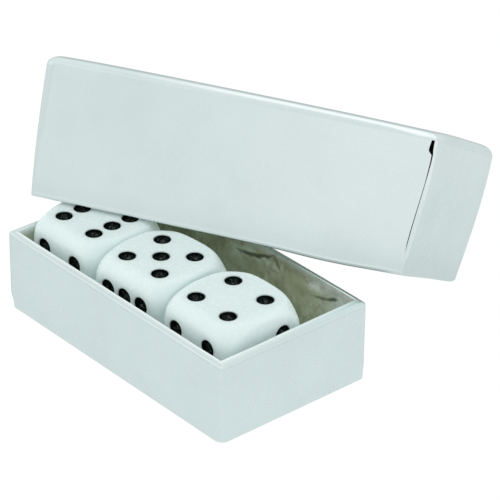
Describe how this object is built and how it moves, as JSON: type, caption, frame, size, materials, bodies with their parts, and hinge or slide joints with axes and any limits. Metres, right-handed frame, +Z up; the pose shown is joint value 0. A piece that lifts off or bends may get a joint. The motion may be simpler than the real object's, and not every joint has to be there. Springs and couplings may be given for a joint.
{
  "type": "dice box",
  "caption": "Small plain metal dice box: an open tray holding dice, with a deeper loose lid propped open across the dice and the table behind the tray.",
  "frame": {"origin": "middle of the tray's flat bottom, on the table", "axes": "+Z up; +X along the tray's length, left to right in the picture; +Y from the tray's front wall to its back wall"},
  "size_m": [0.0775, 0.0735, 0.0378],
  "materials": {
    "tray_plate": "polished silver plate with fine wear",
    "lid_plate": "polished silver plate with fine wear",
    "die_white": "gloss white",
    "pip_black": "black paint filling"
  },
  "bodies": {
    "tray_body": {"tray": "tray_plate"},
    "lid_body": {"lid": "lid_plate"},
    "die_left_body": {"die_left": "die_white", "die_left_pips": "pip_black"},
    "die_middle_body": {"die_middle": "die_white", "die_middle_pips": "pip_black"},
    "die_right_body": {"die_right": "die_white", "die_right_pips": "pip_black"}
  },
  "joints": [
    {"name": "lid_lift", "type": "slide", "parent": "tray_body", "child": "lid_body", "axis": [0, 0, 1], "range_m": [0, 0.05]},
    {"name": "die_left_lift", "type": "slide", "parent": "tray_body", "child": "die_left_body", "axis": [0, 0, 1], "range_m": [0, 0.025]},
    {"name": "die_middle_lift", "type": "slide", "parent": "tray_body", "child": "die_middle_body", "axis": [0, 0, 1], "range_m": [0, 0.025]},
    {"name": "die_right_lift", "type": "slide", "parent": "tray_body", "child": "die_right_body", "axis": [0, 0, 1], "range_m": [0, 0.025]}
  ],
  "couplings": [
    {"joint": "die_left_lift", "follows": "lid_lift", "ratio": 0.5},
    {"joint": "die_middle_lift", "follows": "lid_lift", "ratio": 0.5}
  ]
}
